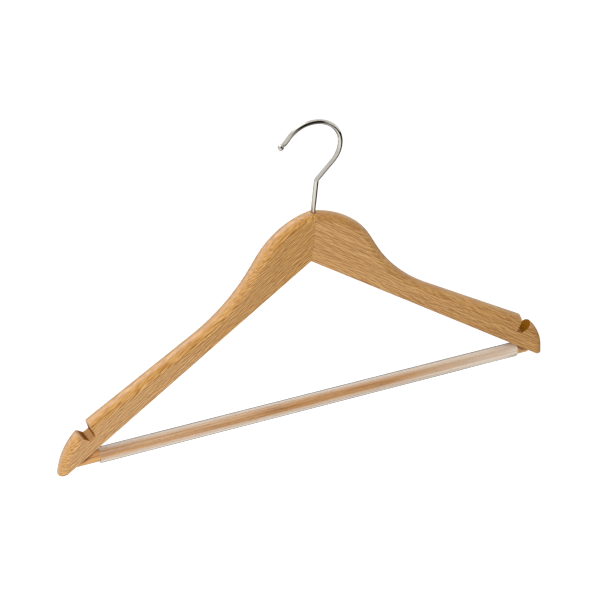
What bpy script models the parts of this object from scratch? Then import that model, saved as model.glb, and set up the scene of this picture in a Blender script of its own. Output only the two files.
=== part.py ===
"""A wooden hanger of two jointed boards, with a trouser bar, a clear ribbed bar sleeve and a swivel hook.

Metres, +Z up. The front of the hanger faces -Y, and X runs along its width. The origin lies on the hook's
swivel axis, where the inside of the hook's loop crosses it, which is where a wardrobe rail carries it.
"""

import math

import bmesh
import bpy

# The boards
HANGER_WIDTH = 0.448
BOARD_THICKNESS = 0.012
SWEEP_ANGLE = math.radians(11.25)
CENTRE_HEIGHT = 0.0444
UNDERSIDE_ANGLE = math.radians(30.0)
TOP_ANGLE = math.radians(26.0)
HUMP_RADIUS = 0.0585
SHOULDER_ANGLE = math.radians(58.0)
SHOULDER_RUN = 0.013
NECK_RADIUS = 0.1215
TOP_EDGE_RADIUS = 0.0057
UNDER_EDGE_RADIUS = 0.0008

# The ends of the boards
OUTER_RADIUS = 0.054
OUTER_STRAIGHT = 0.0085085
TIP_RADIUS = 0.0014

# The strap notch
NOTCH_INSET = 0.0223
NOTCH_DEPTH = 0.0135
NOTCH_FLOOR = 0.0052
NOTCH_INNER_ANGLE = math.radians(12.0)
NOTCH_OUTER_ANGLE = math.radians(20.5)
NOTCH_LIP_RADIUS = 0.0030
NOTCH_FOOT_RADIUS = 0.0005

# The tongues that lock the two boards at the centre
TONGUE_LENGTH = 0.005
TONGUE_THICKNESS = 0.0016
TONGUE_FROM_CENTRE = 0.0025

# The trouser bar and its sleeve
BAR_DIAMETER = 0.010
BAR_INSET = 0.0160
BAR_CHAMFER = 0.0004
TENON_DIAMETER = 0.0065
TENON_LENGTH = 0.0080
SLEEVE_WALL = 0.0012
SLEEVE_RIB_HEIGHT = 0.00015
SLEEVE_RIBS = 16
SLEEVE_BARE_BAR = 0.0072

# The hook
WIRE_DIAMETER = 0.0036
LOOP_RADIUS = 0.0236
LOOP_OFFSET = 0.0068
LOOP_ABOVE_WOOD = 0.0595
STEM_ABOVE_WOOD = 0.0301
STEM_BEND_RADIUS = 0.0040
LOOP_END_ANGLE = math.radians(150.0)
FLARE_ANGLE = math.radians(16.0)
FLARE_LENGTH = 0.0048
NECK_DIAMETER = 0.0028
NECK_LENGTH = 0.0010
BALL_DIAMETER = 0.0047
HEAD_DIAMETER = 0.0062
HEAD_HEIGHT = 0.0018

# The washer that the hook's head bears on, and its counterbore in the crotch
WASHER_DIAMETER = 0.0080
WASHER_THICKNESS = 0.0008
COUNTERBORE_DEPTH = 0.0050

# Clearances
SEAT_GAP = 0.0003
JOINT_GAP = 0.00015
BAR_CLEARANCE = 0.0002

# Mesh fineness
EDGE_STEPS = 4
ROUND_SIDES = 24
WIRE_SIDES = 12

# Sizes that follow from the ones above
HALF_THICKNESS = BOARD_THICKNESS / 2
BOARD_REACH = (HANGER_WIDTH / 2 - HALF_THICKNESS * math.sin(SWEEP_ANGLE)) / math.cos(SWEEP_ANGLE)
WIRE_RADIUS = WIRE_DIAMETER / 2
BAR_RADIUS = BAR_DIAMETER / 2
TENON_RADIUS = TENON_DIAMETER / 2
STEM_HOLE_RADIUS = WIRE_RADIUS + SEAT_GAP
COUNTERBORE_RADIUS = WASHER_DIAMETER / 2 + SEAT_GAP
LOOP_CENTRE_Z = -math.sqrt((LOOP_RADIUS - WIRE_RADIUS) ** 2 - LOOP_OFFSET**2)
WOOD_TOP_Z = LOOP_CENTRE_Z - LOOP_ABOVE_WOOD
CROTCH_Z = WOOD_TOP_Z - CENTRE_HEIGHT
UNDERSIDE_SLOPE = math.tan(UNDERSIDE_ANGLE) / math.cos(SWEEP_ANGLE)
BAR_MEETS_X = HANGER_WIDTH / 2 - BAR_INSET
BAR_Z = CROTCH_Z - BAR_MEETS_X * UNDERSIDE_SLOPE
BAR_Y = -BAR_MEETS_X * math.tan(SWEEP_ANGLE)
SLEEVE_BORE_RADIUS = BAR_RADIUS + BAR_CLEARANCE
SLEEVE_RADIUS = SLEEVE_BORE_RADIUS + SLEEVE_WALL + SLEEVE_RIB_HEIGHT
SLEEVE_TOUCH_X = BAR_MEETS_X - (SLEEVE_RADIUS + 2 * SEAT_GAP) / UNDERSIDE_SLOPE


def clear_scene():
    for thing in list(bpy.data.objects):
        bpy.data.objects.remove(thing, do_unlink=True)


def material(name, colour, roughness, metallic=0.0, alpha=1.0, coat=0.0):
    made = bpy.data.materials.new(name)
    made.use_nodes = True
    shader = made.node_tree.nodes["Principled BSDF"]
    shader.inputs["Base Color"].default_value = (*colour, 1.0)
    shader.inputs["Roughness"].default_value = roughness
    shader.inputs["Metallic"].default_value = metallic
    shader.inputs["Alpha"].default_value = alpha
    shader.inputs["Coat Weight"].default_value = coat
    return made


def object_from(name, mesh_maker, finish=None):
    """Makes one object from a bmesh, with its faces turned outwards and its round edges shaded smooth."""
    mesh = bpy.data.meshes.new(name)
    bmesh.ops.remove_doubles(mesh_maker, verts=mesh_maker.verts, dist=1e-7)
    bmesh.ops.recalc_face_normals(mesh_maker, faces=mesh_maker.faces)
    mesh_maker.to_mesh(mesh)
    mesh_maker.free()
    mesh.shade_smooth()
    mesh.set_sharp_from_angle(angle=math.radians(32.0))
    made = bpy.data.objects.new(name, mesh)
    bpy.context.scene.collection.objects.link(made)
    if finish:
        made.data.materials.append(finish)
    else:
        made.hide_render = True
        made.display_type = "WIRE"
    return made


def boolean(target, operation, other):
    cut = target.modifiers.new(f"{operation.lower()} {other.name}", "BOOLEAN")
    cut.operation = operation
    cut.solver = "EXACT"
    cut.object = other


def line_crossing(first, first_angle, second, second_angle):
    """The point where two lines of the board's plane cross. An angle is a line's fall below the horizontal."""
    first_way = (math.cos(first_angle), -math.sin(first_angle))
    second_way = (math.cos(second_angle), -math.sin(second_angle))
    gap = (second[0] - first[0], second[1] - first[1])
    turn = first_way[0] * second_way[1] - first_way[1] * second_way[0]
    along = (gap[0] * second_way[1] - gap[1] * second_way[0]) / turn
    return first[0] + along * first_way[0], first[1] + along * first_way[1]


def rounded_corner(before, corner, after, radius, steps):
    """Points along the arc that rounds one corner of an outline."""
    back = (before[0] - corner[0], before[1] - corner[1])
    ahead = (after[0] - corner[0], after[1] - corner[1])
    back_length = math.hypot(*back)
    ahead_length = math.hypot(*ahead)
    back = (back[0] / back_length, back[1] / back_length)
    ahead = (ahead[0] / ahead_length, ahead[1] / ahead_length)
    half = math.acos(max(-1.0, min(1.0, back[0] * ahead[0] + back[1] * ahead[1]))) / 2
    setback = radius / math.tan(half)
    middle = (back[0] + ahead[0], back[1] + ahead[1])
    reach = radius / math.sin(half) / math.hypot(*middle)
    centre = (corner[0] + middle[0] * reach, corner[1] + middle[1] * reach)
    start = (corner[0] + back[0] * setback, corner[1] + back[1] * setback)
    turn = math.pi - 2 * half
    if back[0] * ahead[1] - back[1] * ahead[0] > 0:
        turn = -turn
    points = []
    for step in range(steps + 1):
        angle = turn * step / steps
        spoke = (start[0] - centre[0], start[1] - centre[1])
        points.append((
            centre[0] + spoke[0] * math.cos(angle) - spoke[1] * math.sin(angle),
            centre[1] + spoke[0] * math.sin(angle) + spoke[1] * math.cos(angle),
        ))
    return points


def top_line_start():
    """Where the outlines of the neck's two straight runs meet, as distance along the board and height."""
    hump_corner = (HUMP_RADIUS * math.tan(SHOULDER_ANGLE / 2), CENTRE_HEIGHT)
    run = hump_corner[0] + SHOULDER_RUN + NECK_RADIUS * math.tan((SHOULDER_ANGLE - TOP_ANGLE) / 2)
    return (
        hump_corner[0] + run * math.cos(SHOULDER_ANGLE),
        hump_corner[1] - run * math.sin(SHOULDER_ANGLE),
    )


def tip_centre():
    """The middle of the round tip, as distance along the board and height."""
    along = BOARD_REACH - TIP_RADIUS
    return along, TIP_RADIUS / math.cos(UNDERSIDE_ANGLE) - along * math.tan(UNDERSIDE_ANGLE)


def outer_angle():
    """The angle at which the outer end's straight falls from the outer arc to the round tip."""
    start = top_line_start()
    tip = tip_centre()
    tip_depth = (start[0] - tip[0]) * math.sin(TOP_ANGLE) + (start[1] - tip[1]) * math.cos(TOP_ANGLE)
    radius_gap = OUTER_RADIUS - TIP_RADIUS
    turn = math.acos((OUTER_RADIUS - tip_depth) / math.hypot(radius_gap, OUTER_STRAIGHT))
    return TOP_ANGLE + turn - math.atan2(OUTER_STRAIGHT, radius_gap)


def side_line_start():
    """Where the straight of the outer end leaves the round tip."""
    tip = tip_centre()
    return tip[0] + TIP_RADIUS * math.sin(outer_angle()), tip[1] + TIP_RADIUS * math.cos(outer_angle())


def moved_in(point, angle, inset):
    """A point on one of the outline's upper lines, moved square to that line into the wood."""
    return point[0] - inset * math.sin(angle), point[1] - inset * math.cos(angle)


def notch_point(across, depth):
    """A point of the notch, from its centre line on the board's straight top edge."""
    start = top_line_start()
    centre_along = BOARD_REACH - NOTCH_INSET
    centre_height = start[1] - (centre_along - start[0]) * math.tan(TOP_ANGLE)
    way = (math.cos(TOP_ANGLE), -math.sin(TOP_ANGLE))
    return (
        centre_along + across * way[0] + depth * way[1],
        centre_height + across * way[1] - depth * way[0],
    )


def between(first, second, count):
    """Evenly spaced points on the straight from first to second, without its ends."""
    return [
        (
            first[0] + (second[0] - first[0]) * step / count,
            first[1] + (second[1] - first[1]) * step / count,
        )
        for step in range(1, count)
    ]


def board_outline(through, top_inset, under_inset, seam_gap):
    """A board's outline at one level of its thickness, from the crotch round the tip and back over the top.

    The rounded top edge is one inset all the way from the crown to the tip, and the straight underside
    cuts it off there. Each point is (distance along the board, height over the crotch).
    """
    hump_corner = (HUMP_RADIUS * math.tan(SHOULDER_ANGLE / 2), CENTRE_HEIGHT)
    under = moved_in((0.0, 0.0), UNDERSIDE_ANGLE, -under_inset)
    side = moved_in(side_line_start(), outer_angle(), top_inset)
    top = moved_in(top_line_start(), TOP_ANGLE, top_inset)
    shoulder = moved_in(hump_corner, SHOULDER_ANGLE, top_inset)
    crown = moved_in((0.0, CENTRE_HEIGHT), 0.0, top_inset)
    tip = line_crossing(under, UNDERSIDE_ANGLE, side, outer_angle())
    outer = line_crossing(top, TOP_ANGLE, side, outer_angle())
    neck = line_crossing(shoulder, SHOULDER_ANGLE, top, TOP_ANGLE)
    hump = line_crossing(crown, 0.0, shoulder, SHOULDER_ANGLE)

    tip_arc = rounded_corner(under, tip, outer, TIP_RADIUS, 5)
    outer_arc = rounded_corner(tip, outer, neck, OUTER_RADIUS - top_inset, 16)
    neck_arc = rounded_corner(outer, neck, hump, NECK_RADIUS + top_inset, 9)
    hump_arc = rounded_corner(neck, hump, crown, HUMP_RADIUS - top_inset, 14)
    seam_along = (seam_gap - through * math.sin(SWEEP_ANGLE)) / math.cos(SWEEP_ANGLE)
    low_seam = (seam_along, under_inset / math.cos(UNDERSIDE_ANGLE) - seam_along * math.tan(UNDERSIDE_ANGLE))
    high_seam = (seam_along, crown[1])
    return [
        low_seam, *between(low_seam, tip_arc[0], 4), *tip_arc,
        *between(tip_arc[-1], outer_arc[0], 2), *outer_arc,
        *between(outer_arc[-1], neck_arc[0], 4), *neck_arc, *hump_arc[:-1], high_seam,
    ]


def rounding_inset(radius, into):
    """How far a rounded edge stands back from its outline, at a distance into the thickness from the face."""
    return radius - math.sqrt(radius**2 - max(radius - into, 0.0) ** 2)


def board_levels():
    """Levels through a board, front to back, as (place in the thickness, top inset, underside inset)."""
    front = []
    for step in range(EDGE_STEPS + 1):
        into = TOP_EDGE_RADIUS * (1 - math.cos(math.pi / 2 * step / EDGE_STEPS))
        insets = (rounding_inset(TOP_EDGE_RADIUS, into), rounding_inset(UNDER_EDGE_RADIUS, into))
        front.append((into - HALF_THICKNESS, *insets))
    return front + [(-through, *insets) for through, *insets in reversed(front)]


def in_world(side, along, through, height):
    """Board coordinates to the hanger's. The boards sweep forwards from the centre, side -1 left and 1 right."""
    return (
        side * (along * math.cos(SWEEP_ANGLE) + through * math.sin(SWEEP_ANGLE)),
        -along * math.sin(SWEEP_ANGLE) + through * math.cos(SWEEP_ANGLE),
        CROTCH_Z + height,
    )


def board_blank(name, side, seam_gap, finish=None):
    """One board with its rounded edges, mitred at the seam, before its notch and holes are cut."""
    shape = bmesh.new()
    levels = [
        [
            shape.verts.new(in_world(side, along, through, height))
            for along, height in board_outline(through, top_inset, under_inset, seam_gap)
        ]
        for through, top_inset, under_inset in board_levels()
    ]
    for near, far in zip(levels, levels[1:]):
        for index in range(len(near) - 1):
            shape.faces.new((near[index], far[index], far[index + 1], near[index + 1]))
    shape.faces.new(levels[0])
    shape.faces.new(levels[-1])
    shape.faces.new([level[0] for level in levels] + [level[-1] for level in reversed(levels)])
    return object_from(name, shape, finish)


def notch_space(name, side):
    """What the strap notch takes out of a board: two sloping walls, a flat floor and a rounded inner lip."""
    above = -NOTCH_LIP_RADIUS
    inner_lip = -NOTCH_FLOOR / 2 - NOTCH_DEPTH * math.tan(NOTCH_INNER_ANGLE)
    outer_top = NOTCH_FLOOR / 2 + (NOTCH_DEPTH - above) * math.tan(NOTCH_OUTER_ANGLE)
    floor_out = notch_point(NOTCH_FLOOR / 2, NOTCH_DEPTH)
    floor_in = notch_point(-NOTCH_FLOOR / 2, NOTCH_DEPTH)
    lip_in = notch_point(inner_lip, 0.0)
    lip_out = notch_point(outer_top, above)
    inner_arc = rounded_corner(floor_in, lip_in, notch_point(2 * inner_lip, 0.0), NOTCH_LIP_RADIUS, 4)
    outline = [
        lip_out,
        *rounded_corner(lip_out, floor_out, floor_in, NOTCH_FOOT_RADIUS, 1),
        *rounded_corner(floor_out, floor_in, lip_in, NOTCH_FOOT_RADIUS, 1),
        *inner_arc[:-1],
        notch_point(inner_lip - NOTCH_LIP_RADIUS, above),
    ]
    shape = bmesh.new()
    near, far = [
        [shape.verts.new(in_world(side, along, through, height)) for along, height in outline]
        for through in (-BOARD_THICKNESS, BOARD_THICKNESS)
    ]
    for index in range(len(outline)):
        following = (index + 1) % len(outline)
        shape.faces.new((near[index], far[index], far[following], near[following]))
    shape.faces.new(near)
    shape.faces.new(far)
    return object_from(name, shape)


def box(name, low, high):
    shape = bmesh.new()
    bmesh.ops.create_cube(shape, size=1.0)
    for vert in shape.verts:
        vert.co = [low[axis] + (vert.co[axis] + 0.5) * (high[axis] - low[axis]) for axis in range(3)]
    return object_from(name, shape)


def turned(name, profile, place, finish=None):
    """A turned solid from (distance along the axis, radius) pairs. place puts (along, across, up) in the world."""
    shape = bmesh.new()
    rings = []
    for along, radius in profile:
        ring = []
        for side in range(ROUND_SIDES):
            angle = 2 * math.pi * (side + 0.5) / ROUND_SIDES
            ring.append(shape.verts.new(place(along, radius * math.cos(angle), radius * math.sin(angle))))
        rings.append(ring)
    for first, second in zip(rings, rings[1:]):
        for side in range(ROUND_SIDES):
            following = (side + 1) % ROUND_SIDES
            shape.faces.new((first[side], first[following], second[following], second[side]))
    shape.faces.new(rings[0])
    shape.faces.new(rings[-1])
    return object_from(name, shape, finish)


def on_bar_axis(along, across, up):
    return along, BAR_Y + across, BAR_Z + up


def on_swivel_axis(along, across, up):
    return across, up, along


def bar_profile(clearance):
    """The trouser bar from end to end, or the space it needs: a full round with a turned tenon at each end."""
    shoulder = BAR_MEETS_X - SEAT_GAP + clearance
    end = shoulder + TENON_LENGTH
    full = BAR_RADIUS + clearance
    tenon = TENON_RADIUS + clearance
    half = [
        (shoulder - BAR_CHAMFER, full),
        (shoulder, full - BAR_CHAMFER),
        (shoulder, tenon),
        (end - BAR_CHAMFER, tenon),
        (end, tenon - BAR_CHAMFER),
    ]
    return [(-along, radius) for along, radius in reversed(half)] + half


def arms(left_finish, right_finish):
    """The two boards. Each has one tongue that enters a slot of the other, either side of the hook's hole."""
    far = HANGER_WIDTH
    bar_space = turned("bar_space", bar_profile(BAR_CLEARANCE), on_bar_axis)
    stem_space = turned(
        "stem_space",
        [(CROTCH_Z - CENTRE_HEIGHT, STEM_HOLE_RADIUS), (WOOD_TOP_Z + CENTRE_HEIGHT, STEM_HOLE_RADIUS)],
        on_swivel_axis,
    )
    head_space = turned(
        "head_space",
        [(CROTCH_Z - CENTRE_HEIGHT, COUNTERBORE_RADIUS), (CROTCH_Z + COUNTERBORE_DEPTH, COUNTERBORE_RADIUS)],
        on_swivel_axis,
    )
    made = []
    for side, name, finish in ((-1, "left_arm", left_finish), (1, "right_arm", right_finish)):
        tongue_near = TONGUE_FROM_CENTRE
        tongue_far = TONGUE_FROM_CENTRE + TONGUE_THICKNESS
        arm = board_blank(name, side, JOINT_GAP, finish)
        tongue = board_blank(f"{name}_tongue", -side, -2 * SEAT_GAP)
        tongue_ways = sorted((2 * SEAT_GAP * side, -TONGUE_LENGTH * side))
        tongue_through = sorted((side * (tongue_near + JOINT_GAP), side * (tongue_far - JOINT_GAP)))
        slab = box(
            f"{name}_tongue_slab",
            (tongue_ways[0], tongue_through[0], CROTCH_Z - far),
            (tongue_ways[1], tongue_through[1], WOOD_TOP_Z + far),
        )
        slot_ways = sorted((-SEAT_GAP * side, (TONGUE_LENGTH + SEAT_GAP) * side))
        slot_through = sorted((-side * tongue_near, -side * tongue_far))
        slot = box(
            f"{name}_slot",
            (slot_ways[0], slot_through[0], CROTCH_Z - far),
            (slot_ways[1], slot_through[1], WOOD_TOP_Z + far),
        )
        boolean(tongue, "INTERSECT", slab)
        boolean(arm, "UNION", tongue)
        boolean(arm, "DIFFERENCE", slot)
        boolean(arm, "DIFFERENCE", notch_space(f"{name}_notch_space", side))
        boolean(arm, "DIFFERENCE", stem_space)
        boolean(arm, "DIFFERENCE", head_space)
        boolean(arm, "DIFFERENCE", bar_space)
        made.append(arm)
    return made


def bar_sleeve(finish):
    """A clear tube with ribs along it, slid against the right arm so that some bare bar shows at the left."""
    ends = (-(SLEEVE_TOUCH_X - SLEEVE_BARE_BAR), SLEEVE_TOUCH_X)
    points_per_rib = 6
    count = SLEEVE_RIBS * points_per_rib
    shape = bmesh.new()
    loops = []
    for along in ends:
        for inner in (True, False):
            loop = []
            for index in range(count):
                angle = 2 * math.pi * index / count
                ripple = (1 + math.cos(SLEEVE_RIBS * angle)) / 2
                radius = SLEEVE_BORE_RADIUS + SLEEVE_WALL + SLEEVE_RIB_HEIGHT * ripple
                if inner:
                    radius = SLEEVE_BORE_RADIUS
                loop.append(shape.verts.new(
                    on_bar_axis(along, radius * math.cos(angle), radius * math.sin(angle))
                ))
            loops.append(loop)
    near_inner, near_outer, far_inner, far_outer = loops
    for first, second in (
        (near_inner, near_outer), (near_outer, far_outer), (far_outer, far_inner), (far_inner, near_inner)
    ):
        for index in range(count):
            following = (index + 1) % count
            shape.faces.new((first[index], first[following], second[following], second[index]))
    return object_from("bar_sleeve", shape, finish)


def hook_washer(finish):
    """A flat washer between the hook's head and the roof of the counterbore."""
    top = CROTCH_Z + COUNTERBORE_DEPTH - SEAT_GAP
    bottom = top - WASHER_THICKNESS
    hole = STEM_HOLE_RADIUS
    rim = WASHER_DIAMETER / 2
    profile = [(bottom, hole), (bottom, rim), (top, rim), (top, hole)]
    shape = bmesh.new()
    rings = []
    for height, radius in profile:
        ring = []
        for side in range(ROUND_SIDES):
            angle = 2 * math.pi * (side + 0.5) / ROUND_SIDES
            ring.append(shape.verts.new(
                on_swivel_axis(height, radius * math.cos(angle), radius * math.sin(angle))
            ))
        rings.append(ring)
    for first, second in zip(rings, rings[1:] + rings[:1]):
        for side in range(ROUND_SIDES):
            following = (side + 1) % ROUND_SIDES
            shape.faces.new((first[side], first[following], second[following], second[side]))
    return object_from("hook_washer", shape, finish)


def arc(centre, radius, start, end, steps):
    return [
        (
            centre[0] + radius * math.cos(start + (end - start) * step / steps),
            centre[1] + radius * math.sin(start + (end - start) * step / steps),
        )
        for step in range(steps + 1)
    ]


def hook_route():
    """The wire's centre line in the XZ plane, from its head in the wood to the ball, as (x, z, radius)."""
    centre = (-LOOP_OFFSET, LOOP_CENTRE_Z)
    bend = (0.0, WOOD_TOP_Z + STEM_ABOVE_WOOD)
    reach = math.hypot(bend[0] - centre[0], bend[1] - centre[1])
    to_bend = math.atan2(bend[1] - centre[1], bend[0] - centre[0])
    loop_start = to_bend + math.acos(LOOP_RADIUS / reach)
    tangent = (centre[0] + LOOP_RADIUS * math.cos(loop_start), centre[1] + LOOP_RADIUS * math.sin(loop_start))
    head_bottom = CROTCH_Z + COUNTERBORE_DEPTH - WASHER_THICKNESS - 2 * SEAT_GAP - HEAD_HEIGHT
    head_top = head_bottom + HEAD_HEIGHT
    stem = (0.0, head_top + SEAT_GAP)

    head_radius = HEAD_DIAMETER / 2
    route = [
        (0.0, head_bottom, head_radius * 0.70),
        (0.0, head_bottom + HEAD_HEIGHT * 0.35, head_radius),
        (0.0, head_top - HEAD_HEIGHT * 0.05, head_radius),
        (0.0, head_top, WIRE_RADIUS),
    ]
    route += [(x, z, WIRE_RADIUS) for x, z in rounded_corner(stem, bend, tangent, STEM_BEND_RADIUS, 5)]
    route += [(x, z, WIRE_RADIUS) for x, z in arc(centre, LOOP_RADIUS, loop_start, LOOP_END_ANGLE, 34)]
    heading = LOOP_END_ANGLE + math.pi / 2
    x, z, _ = route[-1]
    flare_steps = 3
    for step in range(flare_steps):
        heading -= FLARE_ANGLE / flare_steps
        x += math.cos(heading) * FLARE_LENGTH / flare_steps
        z += math.sin(heading) * FLARE_LENGTH / flare_steps
        route.append((x, z, WIRE_RADIUS))
    way = (math.cos(heading), math.sin(heading))
    neck_radius = NECK_DIAMETER / 2
    ball_radius = BALL_DIAMETER / 2
    for distance, radius in ((0.0003, neck_radius), (NECK_LENGTH, neck_radius)):
        route.append((x + way[0] * distance, z + way[1] * distance, radius))
    ball_centre = NECK_LENGTH + math.sqrt(ball_radius**2 - neck_radius**2)
    first_angle = math.asin(neck_radius / ball_radius)
    last_angle = math.radians(172.0)
    ball_steps = 7
    for step in range(1, ball_steps + 1):
        angle = first_angle + (last_angle - first_angle) * step / ball_steps
        distance = ball_centre - ball_radius * math.cos(angle)
        route.append((x + way[0] * distance, z + way[1] * distance, ball_radius * math.sin(angle)))
    return route


def hook(finish):
    """The hook: one length of wire, headed at the bottom and formed to a ball at the tip."""
    shape = bmesh.new()
    route = hook_route()
    rings = []
    for index, (x, z, radius) in enumerate(route):
        before = route[max(index - 1, 0)]
        after = route[min(index + 1, len(route) - 1)]
        length = math.hypot(after[0] - before[0], after[1] - before[1])
        normal = (-(after[1] - before[1]) / length, (after[0] - before[0]) / length)
        ring = []
        for side in range(WIRE_SIDES):
            angle = 2 * math.pi * (side + 0.5) / WIRE_SIDES
            out = radius * math.cos(angle)
            ring.append(shape.verts.new((x + normal[0] * out, radius * math.sin(angle), z + normal[1] * out)))
        rings.append(ring)
    for first, second in zip(rings, rings[1:]):
        for side in range(WIRE_SIDES):
            following = (side + 1) % WIRE_SIDES
            shape.faces.new((first[side], first[following], second[following], second[side]))
    shape.faces.new(rings[0])
    shape.faces.new(rings[-1])
    return object_from("hook", shape, finish)


def build():
    clear_scene()
    straight_beech = material("straight_grained_beech", (0.61, 0.31, 0.09), 0.42, coat=0.2)
    figured_beech = material("figured_beech", (0.53, 0.27, 0.08), 0.42, coat=0.2)
    bar_beech = material("turned_beech", (0.65, 0.33, 0.11), 0.50)
    clear_vinyl = material("clear_vinyl", (0.92, 0.88, 0.84), 0.12, alpha=0.35)
    chrome = material("chrome", (0.55, 0.51, 0.45), 0.08, metallic=1.0)
    zinc = material("zinc", (0.62, 0.63, 0.65), 0.35, metallic=1.0)
    arms(straight_beech, figured_beech)
    turned("trouser_bar", bar_profile(0.0), on_bar_axis, bar_beech)
    bar_sleeve(clear_vinyl)
    hook(chrome)
    hook_washer(zinc)


build()
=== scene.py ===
"""The looks of a wooden hanger: two beech boards, a trouser bar in a clear ribbed sleeve and a chromed hook.

Metres, +Z up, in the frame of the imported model. The front of the hanger faces -Y.
"""

import math

import bmesh
import bpy
from mathutils import Matrix, Vector


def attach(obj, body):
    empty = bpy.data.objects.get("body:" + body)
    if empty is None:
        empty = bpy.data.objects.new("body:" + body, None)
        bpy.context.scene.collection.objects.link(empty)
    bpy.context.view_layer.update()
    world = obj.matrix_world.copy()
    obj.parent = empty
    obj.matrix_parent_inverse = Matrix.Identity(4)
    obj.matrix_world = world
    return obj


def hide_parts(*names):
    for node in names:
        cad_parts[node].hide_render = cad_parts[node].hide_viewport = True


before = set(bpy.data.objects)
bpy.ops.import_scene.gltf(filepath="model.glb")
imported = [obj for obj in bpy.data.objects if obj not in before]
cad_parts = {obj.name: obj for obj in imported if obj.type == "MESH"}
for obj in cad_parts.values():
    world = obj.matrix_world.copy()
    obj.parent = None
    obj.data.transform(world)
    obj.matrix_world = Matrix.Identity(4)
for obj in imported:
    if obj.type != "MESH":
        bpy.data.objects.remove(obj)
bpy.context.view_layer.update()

# The boards
HANGER_WIDTH = 0.448
BOARD_THICKNESS = 0.012
SWEEP_ANGLE = math.radians(11.25)
CENTRE_HEIGHT = 0.0444
UNDERSIDE_ANGLE = math.radians(30.0)
TOP_ANGLE = math.radians(26.0)
HUMP_RADIUS = 0.0585
SHOULDER_ANGLE = math.radians(58.0)
SHOULDER_RUN = 0.013
NECK_RADIUS = 0.1215
TOP_EDGE_RADIUS = 0.0057
UNDER_EDGE_RADIUS = 0.0008
SEAM_GAP = 0.00006

# The ends of the boards and the strap notches
OUTER_RADIUS = 0.054
OUTER_ANGLE = math.radians(78.0)
TIP_RADIUS = 0.0014
NOTCH_INSET = 0.0223
NOTCH_DEPTH = 0.0135
NOTCH_FLOOR = 0.0052
NOTCH_INNER_ANGLE = math.radians(12.0)
NOTCH_OUTER_ANGLE = math.radians(20.5)
NOTCH_LIP_RADIUS = 0.0030
NOTCH_FOOT_RADIUS = 0.0005
NOTCH_CHAMFER = 0.00025

# The trouser bar and its sleeve
BAR_DIAMETER = 0.010
BAR_INSET = 0.0160
BAR_CHAMFER = 0.0004
TENON_DIAMETER = 0.0065
TENON_LENGTH = 0.0080
SLEEVE_WALL = 0.0012
SLEEVE_RIB_HEIGHT = 0.00015
SLEEVE_RIBS = 16
SLEEVE_BARE_BAR = 0.0072
SLEEVE_CUT_EDGE = 0.0002

# The hook, its washer and the counterbore that they sit in
WIRE_DIAMETER = 0.0036
LOOP_RADIUS = 0.0236
LOOP_OFFSET = 0.0068
LOOP_ABOVE_WOOD = 0.0595
STEM_ABOVE_WOOD = 0.0301
STEM_BEND_RADIUS = 0.0040
LOOP_END_ANGLE = math.radians(150.0)
FLARE_ANGLE = math.radians(16.0)
FLARE_LENGTH = 0.0048
NECK_DIAMETER = 0.0028
NECK_LENGTH = 0.0010
BALL_DIAMETER = 0.0047
HEAD_DIAMETER = 0.0062
HEAD_HEIGHT = 0.0018
WASHER_DIAMETER = 0.0080
WASHER_THICKNESS = 0.0008
COUNTERBORE_DEPTH = 0.0050
HEAD_STEP = 0.00001
NECK_SHOULDER = 0.00015
NECK_SHOULDER_SHARE = 0.94

# The head's profile, as shares of its height and its radius
HEAD_FOOT = 0.70
HEAD_PROFILE = ((0.18, 0.90), (0.22, 1.0), (0.45, 1.0), (0.11, 0.94), (0.04, 0.80))

# Clearances
SEAT_GAP = 0.0003
BAR_CLEARANCE = 0.0002

# Fine edges and shading
FACE_BAND = 0.00025
WASHER_EDGE = 0.00016
SMOOTH_ANGLE = math.radians(34.0)
ARRIS_ANGLE = math.radians(40.0)

# How finely the curves of the boards, the bar, its sleeve and the hook are cut
UNDERSIDE_STEPS = 60
TIP_STEPS = 12
SIDE_STEPS = 8
OUTER_STEPS = 40
SHOULDER_STEPS = 40
NECK_STEPS = 28
HUMP_STEPS = 40
UNDER_EDGE_STEPS = 4
TOP_EDGE_STEPS = 9
TOP_EDGE_FIRST_STEP = 4
NOTCH_LIP_STEPS = 8
NOTCH_FOOT_STEPS = 4
ROUND_SIDES = 64
WASHER_SIDES = 48
SIDES_OF_A_RIB = 8
SLEEVE_STEPS = 24
WIRE_SIDES = 32
STEM_STEPS = 12
BEND_STEPS = 10
RISE_STEPS = 4
LOOP_STEPS = 96
BALL_STEPS = 16
BALL_END_ANGLE = math.radians(176.0)

# The grain of the boards
GRAIN_SLOPE = math.radians(32.0)
GRAIN_ON_EDGE = 0.38
LINE_START = 0.02
LINE_FULL = 0.26
FLOOR_BARENESS = 0.35
# How high the notch's dark end grain and painted shade fade out, and the share of its walls' painted pale
# sheen.
END_GRAIN_AND_SHADE_FADE = 0.55
PAINTED_NOTCH_SHEEN = 0.60

# The studio: SOFT_LIGHT is the share of the white surround that lights the object
FLOOR_HEIGHT = -0.75
FLOOR_WIDTH = 8.0
SOFT_LIGHT = 0.55
FLOOR_GLOW = 0.55
BLACK_FELT = 0.02

# What counts as the same place
SAME_PLACE = 1e-5
SAME_LEVEL = 1e-6

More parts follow.
